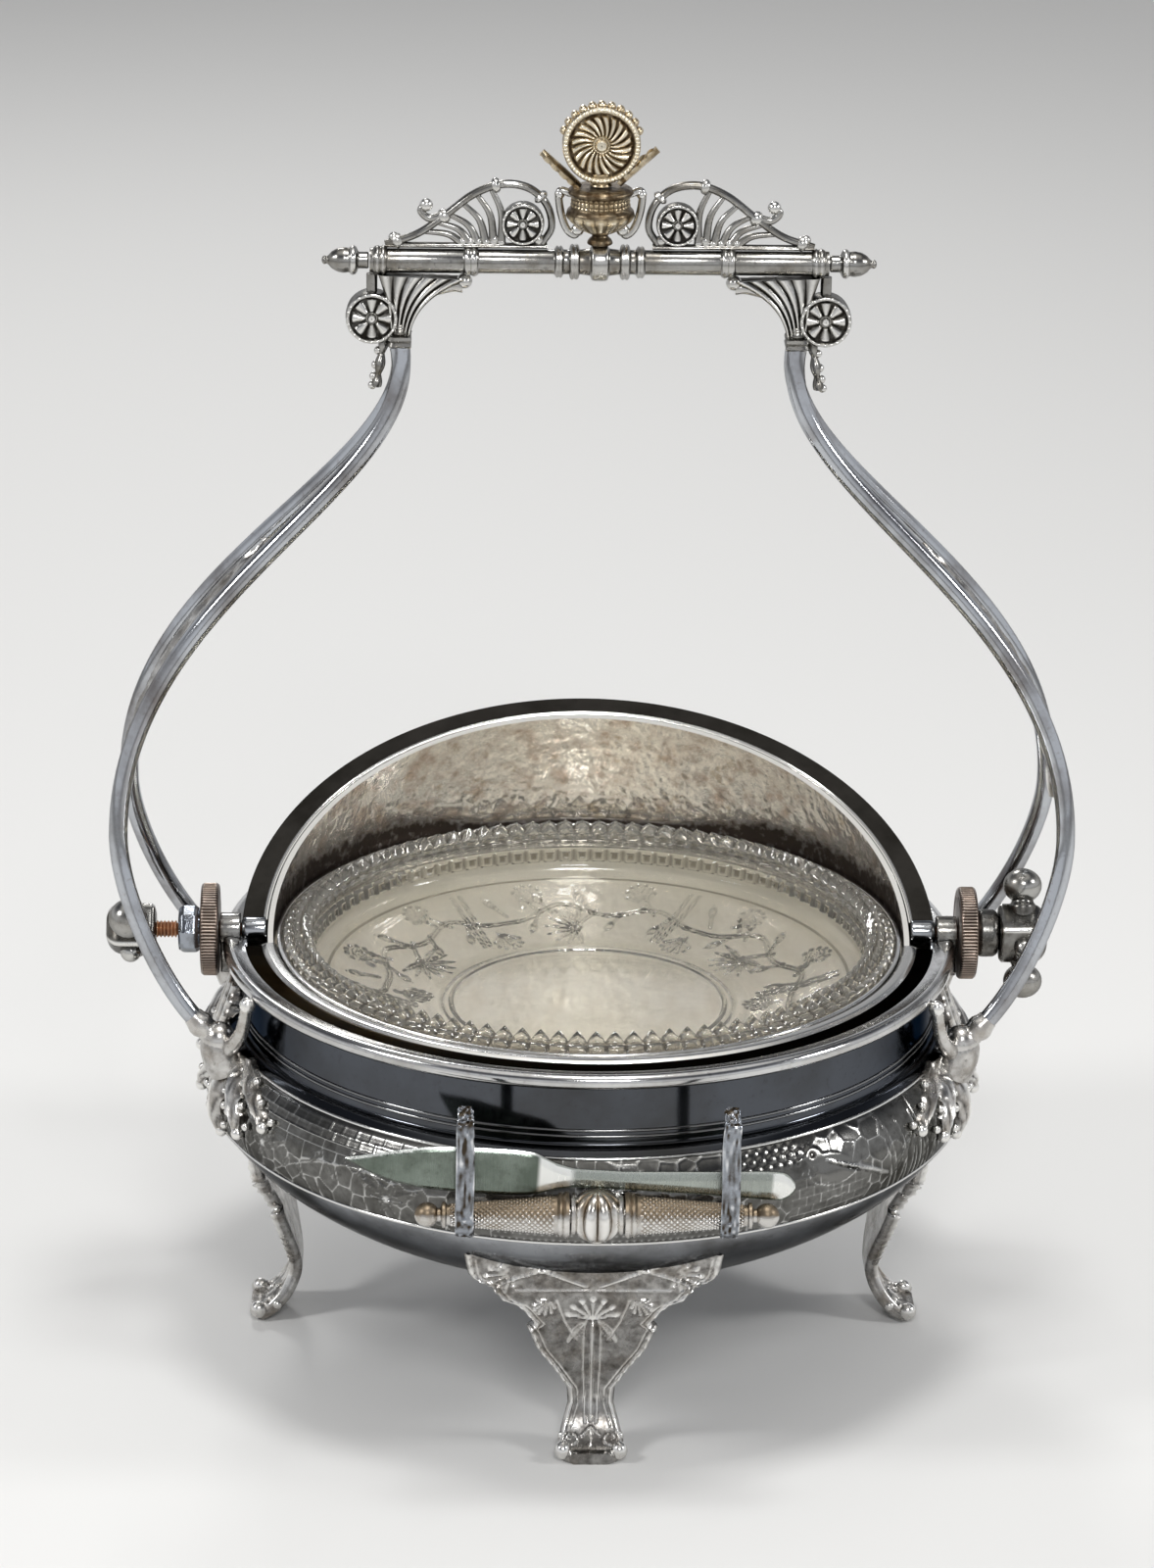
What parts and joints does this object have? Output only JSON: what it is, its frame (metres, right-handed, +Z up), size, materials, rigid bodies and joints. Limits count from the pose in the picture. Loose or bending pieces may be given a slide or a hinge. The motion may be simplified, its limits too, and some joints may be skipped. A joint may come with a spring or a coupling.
{
  "type": "caviar server",
  "caption": "Footed silver bowl with a glass dish, a domed lid that rolls back beneath it on side spindles, a tall bail handle and a knife on a front rack.",
  "frame": {"origin": "on the ground under the middle of the overall box, 5.25 mm in front of the bowl's axis, because the knife rack stands out at the front", "axes": "+X to the right across the two spindles, +Y to the rear, +Z up; the knife rack faces -Y"},
  "size_m": [0.2842, 0.2411, 0.3752],
  "materials": {
    "silver": "polished silver plate with light tarnish",
    "dark_silver": "silver plate with grey tarnish",
    "cast_silver": "cast and chased silver plate, dark in the recesses",
    "worn_gilt": "worn plate with a golden brown base metal",
    "nut_brown": "dark brown knurled metal",
    "copper": "bare copper-coloured screw",
    "glass": "clear pressed glass, faintly warm"
  },
  "bodies": {
    "stand": {"bowl": "silver", "rim_front": "dark_silver", "rim_rear": "dark_silver", "dish_ring": "silver", "foot_front": "cast_silver", "foot_right": "cast_silver", "foot_rear": "cast_silver", "foot_left": "cast_silver", "bearing_left": "dark_silver", "bearing_right": "dark_silver", "bearing_prop_left": "cast_silver", "bearing_prop_right": "cast_silver", "bail_wire_front_left": "silver", "bail_wire_rear_left": "silver", "bail_wire_front_right": "silver", "bail_wire_rear_right": "silver", "bail_socket_front_left": "cast_silver", "bail_socket_rear_left": "cast_silver", "bail_socket_front_right": "cast_silver", "bail_socket_rear_right": "cast_silver", "bail_leaf_left": "cast_silver", "bail_leaf_right": "cast_silver", "bracket_left": "cast_silver", "bracket_right": "cast_silver", "crossbar": "silver", "bar_acorn_left": "silver", "bar_acorn_right": "silver", "spandrel_left": "cast_silver", "spandrel_right": "cast_silver", "urn": "worn_gilt", "finial_disc": "worn_gilt", "finial_leaf_left": "worn_gilt", "finial_leaf_right": "worn_gilt", "rack_rod": "cast_silver", "rack_boss": "silver", "rack_hook_left": "cast_silver", "rack_hook_right": "cast_silver"},
    "lid": {"lid_dome": "silver", "lid_flange": "dark_silver", "lid_lug_left": "dark_silver", "lid_lug_right": "dark_silver", "axle_left": "copper", "axle_right": "copper", "collar_left": "silver", "collar_right": "silver", "knob_left": "cast_silver", "knob_right": "cast_silver", "knob_bar_left": "silver", "knob_bar_right": "silver", "knob_stud_front_left": "silver", "knob_stud_rear_left": "silver", "knob_stud_front_right": "silver", "knob_stud_rear_right": "silver"},
    "nut_left": {"friction_nut_left": "nut_brown"},
    "nut_right": {"friction_nut_right": "nut_brown"},
    "dish": {"glass_dish": "glass"},
    "knife": {"knife": "silver"}
  },
  "joints": [
    {"name": "lid_roll", "type": "hinge", "parent": "stand", "child": "lid", "pos_m": [0.0016, 0.00525, 0.125], "axis": [1, 0, 0], "range_deg": [0, 157]},
    {"name": "nut_left_turn", "type": "hinge", "parent": "lid", "child": "nut_left", "pos_m": [-0.1113, 0.00525, 0.125], "axis": [1, 0, 0], "range_deg": [-180, 180]},
    {"name": "nut_right_turn", "type": "hinge", "parent": "lid", "child": "nut_right", "pos_m": [0.1145, 0.00525, 0.125], "axis": [1, 0, 0], "range_deg": [-180, 180]},
    {"name": "dish_lift", "type": "slide", "parent": "stand", "child": "dish", "axis": [0, 0, 1], "range_m": [0, 0.02]},
    {"name": "knife_lift", "type": "slide", "parent": "stand", "child": "knife", "axis": [0, 0, 1], "range_m": [0, 0.04]}
  ]
}
